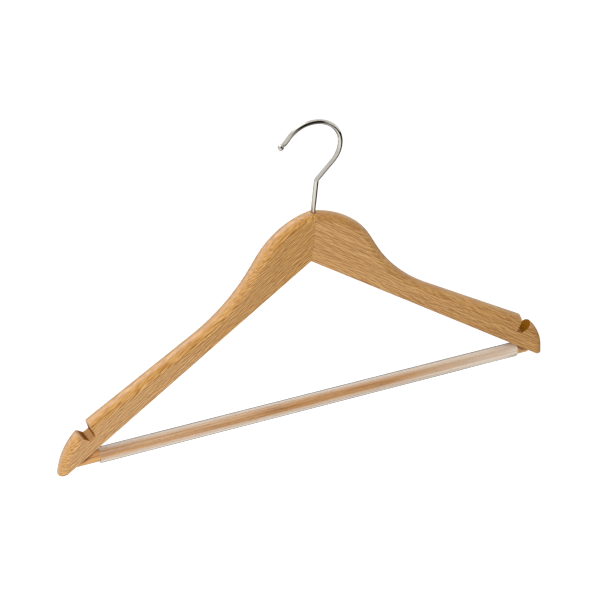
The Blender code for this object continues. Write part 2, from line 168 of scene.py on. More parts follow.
# Sizes that follow from the ones above
HALF_THICKNESS = BOARD_THICKNESS / 2
HUMP_CORNER = (HUMP_RADIUS * math.tan(SHOULDER_ANGLE / 2), CENTRE_HEIGHT)
BOARD_REACH = (HANGER_WIDTH / 2 - HALF_THICKNESS * math.sin(SWEEP_ANGLE)) / math.cos(SWEEP_ANGLE)
WIRE_RADIUS = WIRE_DIAMETER / 2
HEAD_RADIUS = HEAD_DIAMETER / 2
HOOK_NECK_RADIUS = NECK_DIAMETER / 2
BALL_RADIUS = BALL_DIAMETER / 2
WASHER_RADIUS = WASHER_DIAMETER / 2
BAR_RADIUS = BAR_DIAMETER / 2
TENON_RADIUS = TENON_DIAMETER / 2
STEM_HOLE_RADIUS = WIRE_RADIUS + SEAT_GAP
COUNTERBORE_RADIUS = WASHER_RADIUS + SEAT_GAP
LOOP_CENTRE_Z = -math.sqrt((LOOP_RADIUS - WIRE_RADIUS) ** 2 - LOOP_OFFSET**2)
WOOD_TOP_Z = LOOP_CENTRE_Z - LOOP_ABOVE_WOOD
CROTCH_Z = WOOD_TOP_Z - CENTRE_HEIGHT
UNDERSIDE_SLOPE = math.tan(UNDERSIDE_ANGLE) / math.cos(SWEEP_ANGLE)
BAR_MEETS_X = HANGER_WIDTH / 2 - BAR_INSET
BAR_Z = CROTCH_Z - BAR_MEETS_X * UNDERSIDE_SLOPE
BAR_Y = -BAR_MEETS_X * math.tan(SWEEP_ANGLE)
BAR_SHOULDER_X = BAR_MEETS_X - SEAT_GAP
SLEEVE_BORE_RADIUS = BAR_RADIUS + BAR_CLEARANCE
SLEEVE_RADIUS = SLEEVE_BORE_RADIUS + SLEEVE_WALL + SLEEVE_RIB_HEIGHT
SLEEVE_TOUCH_X = BAR_MEETS_X - (SLEEVE_RADIUS + 2 * SEAT_GAP) / UNDERSIDE_SLOPE
SLEEVE_LEFT_X = SLEEVE_BARE_BAR - SLEEVE_TOUCH_X


class Value:
    """A socket of a node tree, so that a mask or a pattern is worked out as an ordinary sum."""

    def __init__(self, nodes, socket):
        self.nodes = nodes
        self.socket = socket

    def worked_out(self, operation, *terms):
        return self.nodes.node("ShaderNodeMath", {"operation": operation}, dict(enumerate(terms)))

    def __add__(self, other):
        return self.worked_out("ADD", self, other)

    def __radd__(self, other):
        return self.worked_out("ADD", other, self)

    def __sub__(self, other):
        return self.worked_out("SUBTRACT", self, other)

    def __rsub__(self, other):
        return self.worked_out("SUBTRACT", other, self)

    def __mul__(self, other):
        return self.worked_out("MULTIPLY", self, other)

    def __rmul__(self, other):
        return self.worked_out("MULTIPLY", other, self)

    def __abs__(self):
        return self.worked_out("ABSOLUTE", self)

    def larger(self, other):
        return self.worked_out("MAXIMUM", self, other)


class Nodes:
    """A node tree, with one way to add a node to it and one way to link a socket."""

    def __init__(self, tree):
        self.tree = tree

    def socket_of(self, sockets, key):
        if isinstance(key, int):
            return sockets[key]
        for socket in sockets:
            if socket.identifier == key or socket.name == key:
                return socket
        raise KeyError(key)

    def join(self, socket, value):
        if isinstance(value, Value):
            self.tree.links.new(value.socket, socket)
        else:
            socket.default_value = value

    def node(self, kind, settings=None, values=None, output=0):
        made = self.tree.nodes.new(kind)
        for name, setting in (settings or {}).items():
            setattr(made, name, setting)
        for key, value in (values or {}).items():
            self.join(self.socket_of(made.inputs, key), value)
        return Value(self, self.socket_of(made.outputs, output))

    def ray(self, kind):
        """1 for a light path of one kind, and 0 for all others."""
        return self.node("ShaderNodeLightPath", output=f"Is {kind} Ray")

    def background_ray(self):
        """1 for a ray that sees the white background itself, straight or by a reflection."""
        return self.ray("Camera").larger(self.ray("Transmission")).larger(self.ray("Glossy"))


class Finish(Nodes):
    """One material, with the patterns and masks that its look is made of."""

    def __init__(self, name, roughness, metallic=0.0):
        self.material = bpy.data.materials.new(name)
        self.material.use_nodes = True
        super().__init__(self.material.node_tree)
        self.shader = self.tree.nodes["Principled BSDF"]
        self.surface = Value(self, self.shader.outputs[0])
        self.set(Roughness=roughness, Metallic=metallic)

    def set(self, **values):
        """Sets or links sockets of the shader, each named with _ for its spaces."""
        for name, value in values.items():
            self.join(self.socket_of(self.shader.inputs, name.replace("_", " ")), value)

    def show(self, surface):
        """Shows this surface instead of the plain shader."""
        self.join(self.tree.nodes["Material Output"].inputs["Surface"], surface)

    def place(self, turn, origin):
        """The surface point seen along the rows of a rotation matrix, from an origin."""
        point = self.node("ShaderNodeTexCoord", output="Object")
        return self.node("ShaderNodeMapping", {"vector_type": "POINT"}, {
            "Vector": point,
            "Rotation": turn.to_euler(),
            "Location": -(turn @ origin),
        })

    def normal(self):
        return self.node("ShaderNodeTexCoord", output="Normal")

    def part(self, vector, axis):
        """One coordinate of a point or a direction."""
        return self.node("ShaderNodeSeparateXYZ", values={"Vector": vector}, output=axis)

    def stretched(self, point, sizes):
        return self.node("ShaderNodeVectorMath", {"operation": "DIVIDE"}, {0: point, 1: sizes})

    def moved(self, point, way):
        return self.node("ShaderNodeVectorMath", {"operation": "ADD"}, {0: point, 1: way})

    def noise(self, point, sizes, detail=2.0, roughness=0.5, distortion=0.0):
        return self.node("ShaderNodeTexNoise", {"noise_dimensions": "3D"}, {
            "Vector": self.stretched(point, sizes),
            "Scale": 1.0,
            "Detail": detail,
            "Roughness": roughness,
            "Distortion": distortion,
        }, "Fac")

    def grain_lines(self, point, length, gap):
        """Fine lines along X, all of about one width: a noise less the same noise set over by a gap."""
        sizes = (length, gap * 1.2, gap * 1.2)
        return self.noise(point, sizes, 0.0) - self.noise(self.moved(point, (0.0, gap, 0.0)), sizes, 0.0)

    def cells(self, point, sizes, output="Distance"):
        return self.node("ShaderNodeTexVoronoi", {"feature": "F1"}, {
            "Vector": self.stretched(point, sizes),
            "Scale": 1.0,
        }, output)

    def step(self, value, start, end, low=0.0, high=1.0):
        """Rises smoothly from low to high as the value goes from start to end."""
        return self.node("ShaderNodeMapRange", {"interpolation_type": "SMOOTHSTEP"}, {
            "Value": value,
            "From Min": start,
            "From Max": end,
            "To Min": low,
            "To Max": high,
        }, "Result")

    def mix(self, share, first, second):
        def colour(value):
            return value if isinstance(value, Value) else (*value, 1.0)
        return self.node("ShaderNodeMix", {"data_type": "RGBA"}, {
            "Factor_Float": share,
            "A_Color": colour(first),
            "B_Color": colour(second),
        }, "Result_Color")

    def bump(self, height, depth, strength):
        self.set(Normal=self.node("ShaderNodeBump", values={
            "Height": height,
            "Distance": depth,
            "Strength": strength,
        }, output="Normal"))

    def let_light_through(self, tint):
        """Lets the lamps and the soft light reach what the clear wall covers."""
        self.show(self.node("ShaderNodeMixShader", values={
            0: self.ray("Shadow").larger(self.ray("Diffuse")),
            1: self.surface,
            2: self.node("ShaderNodeBsdfTransparent", values={"Color": tint}),
        }))


def linear(red, green, blue):
    """A colour as a picture writes it, 0 to 255, to the plain numbers that a shader takes."""
    return tuple(
        share / 12.92 if share <= 0.04045 else ((share + 0.055) / 1.055) ** 2.4
        for share in (red / 255, green / 255, blue / 255)
    )


def grain_axes(side, slope):
    """Rows: along the grain, up across the board's face, and through the board."""
    along = Vector((side * math.cos(SWEEP_ANGLE), -math.sin(SWEEP_ANGLE), 0.0))
    up = Vector((0.0, 0.0, 1.0))
    grain = along * math.cos(slope) - up * math.sin(slope)
    across = along * math.sin(slope) + up * math.cos(slope)
    return Matrix((grain, across, grain.cross(across)))


def cut_wood(finish, side, colour, fibre, reach):
    """The colour with the notch's end grain and painted light in it, and the share of the surface that is
    lacquered.

    The end grain is dark over the notch's floor, with painted shade there too, and a painted pale sheen from
    the reach upwards.
    """
    cut = finish.node("ShaderNodeAttribute", {"attribute_name": "sawn"}, output="Fac")
    along, height = notch_point(0.0, NOTCH_DEPTH)
    point = finish.place(grain_axes(side, TOP_ANGLE), Vector(in_world(side, along, 0.0, height)))
    deep = finish.step(finish.part(point, "Y"), reach, reach * END_GRAIN_AND_SHADE_FADE)
    # Dark end grain, deepened into painted shade low in the notch.
    dark = finish.mix(finish.step(fibre, -0.3, 0.3), linear(124, 72, 0), linear(152, 96, 10))
    # A painted pale sheen on the notch's walls from the reach upwards.
    colour = finish.mix(cut * (1.0 - deep) * PAINTED_NOTCH_SHEEN, colour, linear(228, 188, 160))
    return finish.mix(cut * deep, colour, dark), 1.0 - finish.step(cut, 0.0, 0.3)


def wavy(finish, point, sizes, swing):
    """The point moved across the grain by a slow wave, so that the lines of the wood wander."""
    wave = finish.noise(point, sizes)
    return finish.node("ShaderNodeVectorMath", {"operation": "MULTIPLY_ADD"}, {
        0: finish.node("ShaderNodeCombineXYZ", values={"Y": wave - 0.5}),
        1: (0.0, swing, 0.0),
        2: point,
    })


def square_to(side):
    """The direction square to a board's face, towards its back."""
    return Vector((side * math.sin(SWEEP_ANGLE), math.cos(SWEEP_ANGLE), 0.0))


def rounding(finish, side):
    """How clear the grain is, weaker on a board's round edge, and a mask of its top, where a pale sheen is
    painted.
    """
    normal = finish.normal()
    facing = finish.node("ShaderNodeVectorMath", {"operation": "DOT_PRODUCT"}, {
        0: normal,
        1: square_to(side),
    }, "Value")
    square = facing * facing
    clear = GRAIN_ON_EDGE + finish.step(square, 0.25, 0.95) * (1.0 - GRAIN_ON_EDGE)
    return clear, finish.step(square, 0.16, 0.0) * finish.step(finish.part(normal, "Z"), 0.10, 0.40)


def board_grain(finish, side, wander, swing, line, hair):
    """A board's wandering grain point, its lines and its finer fibre, each of a length and a gap."""
    point = finish.place(grain_axes(side, GRAIN_SLOPE), Vector((0.0, 0.0, CROTCH_Z)))
    bent = wavy(finish, point, wander, swing)
    fibre_point = finish.moved(bent, (0.031, 0.013, 0.007))
    return bent, finish.grain_lines(bent, *line), finish.grain_lines(fibre_point, *hair)


def streaked(finish, colour, pattern, clear, pale_share, pale, dark_share, dark):
    """The colour with a pattern's pale lines and its dark lines in it."""
    pale_lines = finish.step(pattern, LINE_START, LINE_FULL) * pale_share * clear
    dark_lines = finish.step(pattern, -LINE_START, -LINE_FULL) * dark_share * clear
    return finish.mix(dark_lines, finish.mix(pale_lines, colour, linear(*pale)), linear(*dark))


def straight_grained_beech():
    """The left board's wood, with long lines that hardly wander."""
    finish = Finish("straight_grained_beech", 0.42)
    bent, lines, fibre = board_grain(
        finish, -1, (0.120, 0.020, 0.020), 0.0020, line=(0.0180, 0.00085), hair=(0.0080, 0.00075)
    )
    clear, painted_top_sheen = rounding(finish, -1)
    tone = finish.noise(bent, (0.060, 0.0080, 0.0120))
    flecks = finish.step(finish.cells(bent, (0.0070, 0.0011, 0.0011)), 0.30, 0.16)

    colour = finish.mix(finish.step(tone, 0.32, 0.68), linear(203, 148, 78), linear(207, 153, 86))
    colour = streaked(finish, colour, lines, clear, 0.50, (236, 188, 118), 0.60, (148, 92, 32))
    colour = streaked(finish, colour, fibre, clear, 0.70, (240, 194, 128), 0.75, (142, 86, 28))
    colour = finish.mix(flecks * 0.40 * clear, colour, linear(128, 74, 22))
    # A painted pale sheen on the top of the round edge.
    colour = finish.mix(painted_top_sheen * 0.30, colour, linear(224, 194, 168))
    colour, lacquer = cut_wood(finish, -1, colour, fibre, 0.0085)
    finish.set(
        Base_Color=colour,
        Roughness=1.0 - lacquer * (1.0 - finish.step(fibre, -0.3, 0.3, 0.52, 0.38)),
        Specular_IOR_Level=0.20,
        Coat_Weight=lacquer * 0.60,
        Coat_Roughness=0.20,
    )
    finish.bump(fibre * 0.5 + lines * 0.5 - flecks * 0.6, 0.00002, 0.5)
    return finish.material


def figured_beech():
    """The right board's wood, flat-sawn, with wandering lines and pale patches."""
    finish = Finish("figured_beech", 0.44)
    bent, lines, fibre = board_grain(
        finish, 1, (0.080, 0.030, 0.030), 0.0060, line=(0.0160, 0.00095), hair=(0.0070, 0.00080)
    )
    clear, painted_top_sheen = rounding(finish, 1)
    tone = finish.noise(bent, (0.070, 0.0050, 0.0090))
    rays = finish.noise(finish.moved(bent, (0.02, 0.05, 0.03)), (0.011, 0.0036, 0.0060), 2.0, 0.5, 0.8)
    flecks = finish.step(finish.cells(bent, (0.0050, 0.0012, 0.0012)), 0.30, 0.16)

    colour = finish.mix(finish.step(tone, 0.32, 0.68), linear(182, 130, 70), linear(202, 151, 88))
    colour = streaked(finish, colour, lines, clear, 0.42, (218, 170, 102), 0.48, (144, 92, 36))
    colour = finish.mix(finish.step(rays, 0.58, 0.70) * 0.30, colour, linear(212, 170, 114))
    colour = streaked(finish, colour, fibre, clear, 0.45, (222, 176, 110), 0.45, (138, 86, 32))
    colour = finish.mix(flecks * 0.35 * clear, colour, linear(134, 84, 30))
    # A painted pale sheen on the top of the round edge.
    colour = finish.mix(painted_top_sheen * 0.30, colour, linear(196, 164, 128))
    colour, lacquer = cut_wood(finish, 1, colour, fibre, 0.0190)
    finish.set(
        Base_Color=colour,
        Roughness=1.0 - lacquer * (1.0 - finish.step(fibre, -0.3, 0.3, 0.54, 0.40)),
        Specular_IOR_Level=0.20,
        Coat_Weight=lacquer * 0.50,
        Coat_Roughness=0.22,
    )
    finish.bump(fibre * 0.5 + lines * 0.5 - flecks * 0.4, 0.00002, 0.5)
    return finish.material


def turned_beech():
    """The bar's wood, with a painted contact shadow where each arm meets it."""
    finish = Finish("turned_beech", 0.48)
    point = finish.place(Matrix.Identity(3), Vector((0.0, BAR_Y, BAR_Z)))
    tone = finish.noise(point, (0.090, 0.0050, 0.0050))
    streaks = finish.noise(point, (0.050, 0.0013, 0.0013), 2.0, 0.55)
    fibre = finish.noise(point, (0.012, 0.0006, 0.0006), 2.0, 0.6)
    flecks = finish.step(finish.cells(point, (0.0060, 0.0012, 0.0012)), 0.30, 0.12)
    colour = finish.mix(finish.step(tone, 0.30, 0.70), linear(208, 150, 86), linear(220, 168, 108))
    colour = finish.mix(finish.step(streaks, 0.50, 0.28) * 0.8, colour, linear(170, 108, 48))
    colour = finish.mix(finish.step(streaks, 0.52, 0.72) * 0.6, colour, linear(232, 184, 128))
    colour = finish.mix(finish.step(fibre, 0.46, 0.76) * 0.3, colour, linear(228, 182, 128))
    colour = finish.mix(flecks * 0.5, colour, linear(146, 92, 40))
    height = finish.part(point, "Z")
    # Painted shadow: darker on the top of the bar just under each arm.
    under_arm = (CROTCH_Z - BAR_Z) - abs(finish.part(point, "X")) * UNDERSIDE_SLOPE - height
    painted_arm_shadow = finish.step(under_arm, 0.0045, 0.0018) * finish.step(height, -0.0005, 0.0025)
    colour = finish.mix(painted_arm_shadow * 0.8, colour, linear(112, 64, 14))
    finish.set(
        Base_Color=colour,
        Roughness=finish.step(fibre, 0.2, 0.8, 0.54, 0.42),
        Coat_Weight=0.10,
        Coat_Roughness=0.30,
    )
    finish.bump(fibre - flecks * 0.5, 0.00005, 0.5)
    return finish.material


def clear_vinyl():
    """Clear soft tube: nearly unseen where it is square on, milky along its ribs and towards its edges, with
    painted shade on its lower edge and a painted whitish reflection towards its right end.
    """
    finish = Finish("clear_vinyl", 0.10)
    point = finish.place(Matrix.Identity(3), Vector((0.0, BAR_Y, BAR_Z)))
    draw_lines = finish.noise(point, (0.300, 0.0011, 0.0011), 2.0, 0.6)
    haze = finish.noise(point, (0.030, 0.0050, 0.0050), 3.0, 0.6)
    edge = finish.node("ShaderNodeLayerWeight", values={"Blend": 0.5}, output="Facing")
    along = finish.part(point, "X")
    band = finish.step(edge, 0.12, 0.30) * 0.36 + finish.step(edge, 0.34, 0.50) * 0.30
    rim = finish.step(edge, 0.60, 0.80)
    # Painted shade: the lower edge is darker and more solid.
    under = finish.step(finish.part(finish.normal(), "Z"), -0.28, -0.48) * finish.step(edge, 0.40, 0.58)
    clear = finish.mix(finish.step(edge, 0.52, 0.72), linear(240, 224, 204), linear(118, 106, 94))
    # A painted whitish reflection, stronger towards the right end and less in the middle.
    painted_reflection_along = finish.step(along, 0.06, 0.20) * 0.30 - finish.step(along * along, 0.0120, 0.0) * 0.10
    milk = 0.01 + finish.step(draw_lines, 0.48, 0.60) * 0.22 + painted_reflection_along + band + rim * 0.35 + under * 0.3
    finish.set(
        Base_Color=finish.mix(under, clear, linear(92, 76, 62)),
        Roughness=finish.step(haze, 0.3, 0.8, 0.08, 0.18),
        Specular_IOR_Level=0.32,
        Alpha=milk,
    )
    finish.bump(draw_lines, 0.00006, 0.5)
    finish.let_light_through((0.88, 0.87, 0.88, 1.0))
    return finish.material


def chrome():
    """Bright plated wire, a little wiped and specked."""
    finish = Finish("chrome", 0.08, 1.0)
    point = finish.place(Matrix.Identity(3), Vector((0.0, 0.0, 0.0)))
    wipe = finish.noise(point, (0.0120, 0.0040, 0.0060), 3.0, 0.6)
    specks = finish.noise(point, (0.0006, 0.0006, 0.0006), 2.0, 0.6)
    finish.set(
        Base_Color=finish.mix(wipe, linear(188, 182, 172), linear(200, 195, 186)),
        Roughness=finish.step(wipe, 0.3, 0.75, 0.05, 0.13),
    )
    finish.bump(specks, 0.00001, 0.25)
    return finish.material


def zinc():
    """The washer's spangled plating."""
    finish = Finish("zinc", 0.35, 1.0)
    point = finish.place(Matrix.Identity(3), Vector((0.0, 0.0, CROTCH_Z)))
    spangle = finish.cells(point, (0.0011, 0.0011, 0.0011), output="Color")
    dull = finish.noise(point, (0.0016, 0.0016, 0.0016), 3.0, 0.6)
    crystals = finish.mix(0.5, spangle, (0.5, 0.5, 0.5))
    finish.set(
        Base_Color=finish.mix(crystals, linear(198, 200, 204), linear(166, 170, 178)),
        Roughness=finish.step(dull, 0.3, 0.7, 0.30, 0.46),
    )
    finish.bump(dull, 0.00002, 0.4)
    return finish.material


def line_crossing(first, first_angle, second, second_angle):
    """The point where two lines of the board's plane cross. An angle is how far a line falls."""
    first_way = (math.cos(first_angle), -math.sin(first_angle))
    second_way = (math.cos(second_angle), -math.sin(second_angle))
    gap = (second[0] - first[0], second[1] - first[1])
    turn = first_way[0] * second_way[1] - first_way[1] * second_way[0]
    along = (gap[0] * second_way[1] - gap[1] * second_way[0]) / turn
    return first[0] + along * first_way[0], first[1] + along * first_way[1]


def rounded_corner(before, corner, after, radius, steps):
    """Points along the arc that rounds one corner of an outline."""
    back = Vector(before) - Vector(corner)
    ahead = Vector(after) - Vector(corner)
    back.normalize()
    ahead.normalize()
    half = math.acos(max(-1.0, min(1.0, back.dot(ahead)))) / 2
    middle = (back + ahead).normalized()
    centre = Vector(corner) + middle * (radius / math.sin(half))
    spoke = Vector(corner) + back * (radius / math.tan(half)) - centre
    turn = math.pi - 2 * half
    if back.x * ahead.y - back.y * ahead.x > 0:
        turn = -turn
    points = []
    for step in range(steps + 1):
        angle = turn * step / steps
        points.append((
            centre.x + spoke.x * math.cos(angle) - spoke.y * math.sin(angle),
            centre.y + spoke.x * math.sin(angle) + spoke.y * math.cos(angle),
        ))
    return points


def top_line_start():
    """Where the outlines of the neck's two straight runs meet, as distance along the board and height."""
    run = HUMP_CORNER[0] + SHOULDER_RUN + NECK_RADIUS * math.tan((SHOULDER_ANGLE - TOP_ANGLE) / 2)
    return (
        HUMP_CORNER[0] + run * math.cos(SHOULDER_ANGLE),
        HUMP_CORNER[1] - run * math.sin(SHOULDER_ANGLE),
    )


def side_line_start():
    """Where the straight of the outer end leaves the round tip."""
    tip_along = BOARD_REACH - TIP_RADIUS
    tip_height = TIP_RADIUS / math.cos(UNDERSIDE_ANGLE) - tip_along * math.tan(UNDERSIDE_ANGLE)
    return tip_along + TIP_RADIUS * math.sin(OUTER_ANGLE), tip_height + TIP_RADIUS * math.cos(OUTER_ANGLE)


def moved_in(point, angle, inset):
    """A point on one of the outline's upper lines, moved square to that line into the wood."""
    return point[0] - inset * math.sin(angle), point[1] - inset * math.cos(angle)


def notch_point(across, depth):
    """A point of the notch, from its centre line on the board's straight top edge."""
    start = top_line_start()
    centre_along = BOARD_REACH - NOTCH_INSET
    centre_height = start[1] - (centre_along - start[0]) * math.tan(TOP_ANGLE)
    way = (math.cos(TOP_ANGLE), -math.sin(TOP_ANGLE))
    return (
        centre_along + across * way[0] + depth * way[1],
        centre_height + across * way[1] - depth * way[0],
    )


def between(first, second, count):
    """Evenly spaced points on the straight from first to second, without its ends."""
    return [
        (
            first[0] + (second[0] - first[0]) * step / count,
            first[1] + (second[1] - first[1]) * step / count,
        )
        for step in range(1, count)
    ]


def board_outline(through, top_inset, under_inset):
    """A board's outline at one level of its thickness, from the crotch round the tip and back over the top.

    The rounded top edge is one inset all the way from the crown to the tip, and the straight underside
    cuts it off there. Each point is (distance along the board, height over the crotch).
    """
    under = moved_in((0.0, 0.0), UNDERSIDE_ANGLE, -under_inset)
    side = moved_in(side_line_start(), OUTER_ANGLE, top_inset)
    top = moved_in(top_line_start(), TOP_ANGLE, top_inset)
    shoulder = moved_in(HUMP_CORNER, SHOULDER_ANGLE, top_inset)
    crown = moved_in((0.0, CENTRE_HEIGHT), 0.0, top_inset)
    tip = line_crossing(under, UNDERSIDE_ANGLE, side, OUTER_ANGLE)
    outer = line_crossing(top, TOP_ANGLE, side, OUTER_ANGLE)
    neck = line_crossing(shoulder, SHOULDER_ANGLE, top, TOP_ANGLE)
    hump = line_crossing(crown, 0.0, shoulder, SHOULDER_ANGLE)

    tip_arc = rounded_corner(under, tip, outer, TIP_RADIUS, TIP_STEPS)
    outer_arc = rounded_corner(tip, outer, neck, OUTER_RADIUS - top_inset, OUTER_STEPS)
    neck_arc = rounded_corner(outer, neck, hump, NECK_RADIUS + top_inset, NECK_STEPS)
    hump_arc = rounded_corner(neck, hump, crown, HUMP_RADIUS - top_inset, HUMP_STEPS)
    seam_along = (SEAM_GAP - through * math.sin(SWEEP_ANGLE)) / math.cos(SWEEP_ANGLE)
    low_seam_height = under_inset / math.cos(UNDERSIDE_ANGLE) - seam_along * math.tan(UNDERSIDE_ANGLE)
    low_seam = (seam_along, low_seam_height)
    high_seam = (seam_along, crown[1])
    return [
        low_seam, *between(low_seam, tip_arc[0], UNDERSIDE_STEPS), *tip_arc,
        *between(tip_arc[-1], outer_arc[0], SIDE_STEPS), *outer_arc,
        *between(outer_arc[-1], neck_arc[0], SHOULDER_STEPS), *neck_arc, *hump_arc[:-1], high_seam,
    ]


def board_levels():
    """Levels through a board, front to back, as (place in the thickness, top inset, underside inset)."""
    def quarter(radius, first, steps):
        """How far in from the face a round edge's levels lie, from one of its steps on."""
        return [radius * (1 - math.cos(math.pi / 2 * step / steps)) for step in range(first, steps + 1)]

    def inset(radius, into):
        return radius - math.sqrt(radius**2 - max(radius - into, 0.0) ** 2)

    places = quarter(UNDER_EDGE_RADIUS, 0, UNDER_EDGE_STEPS)
    places += quarter(TOP_EDGE_RADIUS, TOP_EDGE_FIRST_STEP, TOP_EDGE_STEPS)
    front = [
        (into - HALF_THICKNESS, inset(TOP_EDGE_RADIUS, into), inset(UNDER_EDGE_RADIUS, into))
        for into in places
    ]
    return front + [(-through, *insets) for through, *insets in reversed(front)]


def notch_outline():
    """The outline of the cutter that makes the strap notch, with its rounded inner lip."""
    above = -NOTCH_LIP_RADIUS
    inner_lip = -NOTCH_FLOOR / 2 - NOTCH_DEPTH * math.tan(NOTCH_INNER_ANGLE)
    outer_top = NOTCH_FLOOR / 2 + (NOTCH_DEPTH - above) * math.tan(NOTCH_OUTER_ANGLE)
    floor_out = notch_point(NOTCH_FLOOR / 2, NOTCH_DEPTH)
    floor_in = notch_point(-NOTCH_FLOOR / 2, NOTCH_DEPTH)
    lip_in = notch_point(inner_lip, 0.0)
    lip_out = notch_point(outer_top, above)
    beyond_lip = notch_point(2 * inner_lip, 0.0)
    inner_arc = rounded_corner(floor_in, lip_in, beyond_lip, NOTCH_LIP_RADIUS, NOTCH_LIP_STEPS)
    return [
        lip_out,
        *rounded_corner(lip_out, floor_out, floor_in, NOTCH_FOOT_RADIUS, NOTCH_FOOT_STEPS),
        *rounded_corner(floor_out, floor_in, lip_in, NOTCH_FOOT_RADIUS, NOTCH_FOOT_STEPS),
        *inner_arc[:-1],
        notch_point(inner_lip - NOTCH_LIP_RADIUS, above),
    ]


def in_world(side, along, through, height):
    """Board coordinates to the hanger's. Each board sweeps forwards: side -1 is the left one, 1 the right."""
    return (
        side * (along * math.cos(SWEEP_ANGLE) + through * math.sin(SWEEP_ANGLE)),
        -along * math.sin(SWEEP_ANGLE) + through * math.cos(SWEEP_ANGLE),
        CROTCH_Z + height,
    )


def only(piece):
    """Selects one object and makes it the active one."""
    bpy.ops.object.select_all(action="DESELECT")
    piece.select_set(True)
    bpy.context.view_layer.objects.active = piece


def pick(piece, kind, test):
    """Enters edit mode with only some faces or edges selected.

    The test of a face takes its middle and its normal, and the test of an edge takes its two ends.
    """
    only(piece)
    bpy.ops.object.mode_set(mode="EDIT")
    bpy.ops.mesh.select_mode(type=kind)
    bpy.ops.mesh.select_all(action="DESELECT")
    shape = bmesh.from_edit_mesh(piece.data)
    if kind == "FACE":
        for face in shape.faces:
            face.select_set(test(face.calc_center_median(), face.normal))
    else:
        for edge in shape.edges:
            edge.select_set(test(*(vert.co for vert in edge.verts)))
    shape.select_flush_mode()
    bmesh.update_edit_mesh(piece.data)


def object_mode():
    """Leaves edit mode."""
    bpy.ops.object.mode_set(mode="OBJECT")


def turn_outwards(piece):
    """Turns the faces of a closed piece outwards."""
    only(piece)
    bpy.ops.object.mode_set(mode="EDIT")
    bpy.ops.mesh.select_all(action="SELECT")
    bpy.ops.mesh.normals_make_consistent(inside=False)
    object_mode()


def finish_piece(piece, name, material, body, slot, *nodes):
    """Applies the piece's place, shades it, and hands it to its body."""
    only(piece)
    bpy.ops.object.transform_apply(location=True, rotation=True, scale=True)
    bpy.ops.object.shade_smooth_by_angle(angle=SMOOTH_ANGLE)
    piece.name = name
    piece.data.name = name
    piece.data.materials.clear()
    piece.data.materials.append(material)
    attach(piece, body)
    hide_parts(*nodes)


def cylinder(radius, low, high, sides=ROUND_SIDES):
    """An upright cylinder on the swivel axis."""
    bpy.ops.object.select_all(action="DESELECT")
    bpy.ops.mesh.primitive_cylinder_add(
        vertices=sides, radius=radius, depth=high - low, location=(0.0, 0.0, (low + high) / 2)
    )
    return bpy.context.object


def cut(piece, cutter):
    """Cuts a solid out of the piece, and takes the cutter away."""
    only(piece)
    made = piece.modifiers.new("cut", "BOOLEAN")
    made.operation = "DIFFERENCE"
    made.solver = "EXACT"
    made.object = cutter
    bpy.ops.object.modifier_apply(modifier=made.name)
    bpy.data.objects.remove(cutter, do_unlink=True)


def solid_from(name, verts, faces):
    """An object from a closed mesh, with its faces turned outwards."""
    mesh = bpy.data.meshes.new(name)
    mesh.from_pydata(verts, [], faces)
    piece = bpy.data.objects.new(name, mesh)
    bpy.context.scene.collection.objects.link(piece)
    turn_outwards(piece)
    return piece


def notch_space(side):
    """The block of air that the strap notch is cut with."""
    outline = notch_outline()
    count = len(outline)
    verts = [
        in_world(side, along, through, height)
        for through in (-BOARD_THICKNESS, BOARD_THICKNESS)
        for along, height in outline
    ]
    faces = [
        (index, (index + 1) % count, count + (index + 1) % count, count + index) for index in range(count)
    ]
    faces += [list(range(count)), list(range(count, 2 * count))]
    return solid_from("notch_space", verts, faces)


def sawn_share(side, middle, normal):
    """How bare the wood of a face is: 1 on a wall of the notch, less on its floor, and 0 elsewhere; it also
    places the notch's painted shade and sheen.
    """
    facing = square_to(side)
    if abs(normal.dot(facing)) > 0.01:
        return 0.0
    outline = [Vector(in_world(side, along, 0.0, height)) for along, height in notch_outline()]
    centre = middle - facing * facing.dot(middle - outline[0])
    for first, second in zip(outline, outline[1:]):
        way = (second - first).normalized()
        off_line = (centre - first).cross(way).length
        between_ends = -SAME_PLACE < (centre - first).dot(way) < (second - first).length + SAME_PLACE
        if off_line < 2 * SAME_PLACE and between_ends and abs(normal.dot(way)) < 0.02:
            return FLOOR_BARENESS if abs(normal.z) > 0.8 else 1.0
    return 0.0


def ease_notch(side, piece):
    """Marks the sawn faces of the notch, and takes a fine chamfer off the arrises round them."""
    only(piece)
    sawn = piece.data.attributes.new("sawn", "FLOAT", "FACE")
    shares = [sawn_share(side, face.center, face.normal) for face in piece.data.polygons]
    sawn.data.foreach_set("value", shares)
    bpy.ops.object.mode_set(mode="EDIT")
    bpy.ops.mesh.select_mode(type="EDGE")
    bpy.ops.mesh.select_all(action="DESELECT")
    shape = bmesh.from_edit_mesh(piece.data)
    for edge in shape.edges:
        touching = [shares[face.index] > 0 for face in edge.link_faces]
        edge.select_set(sum(touching) == 1 and edge.calc_face_angle() > ARRIS_ANGLE)
    shape.select_flush_mode()
    bmesh.update_edit_mesh(piece.data)
    bpy.ops.mesh.bevel(offset=NOTCH_CHAMFER, segments=1, affect="EDGES", clamp_overlap=False)
    object_mode()


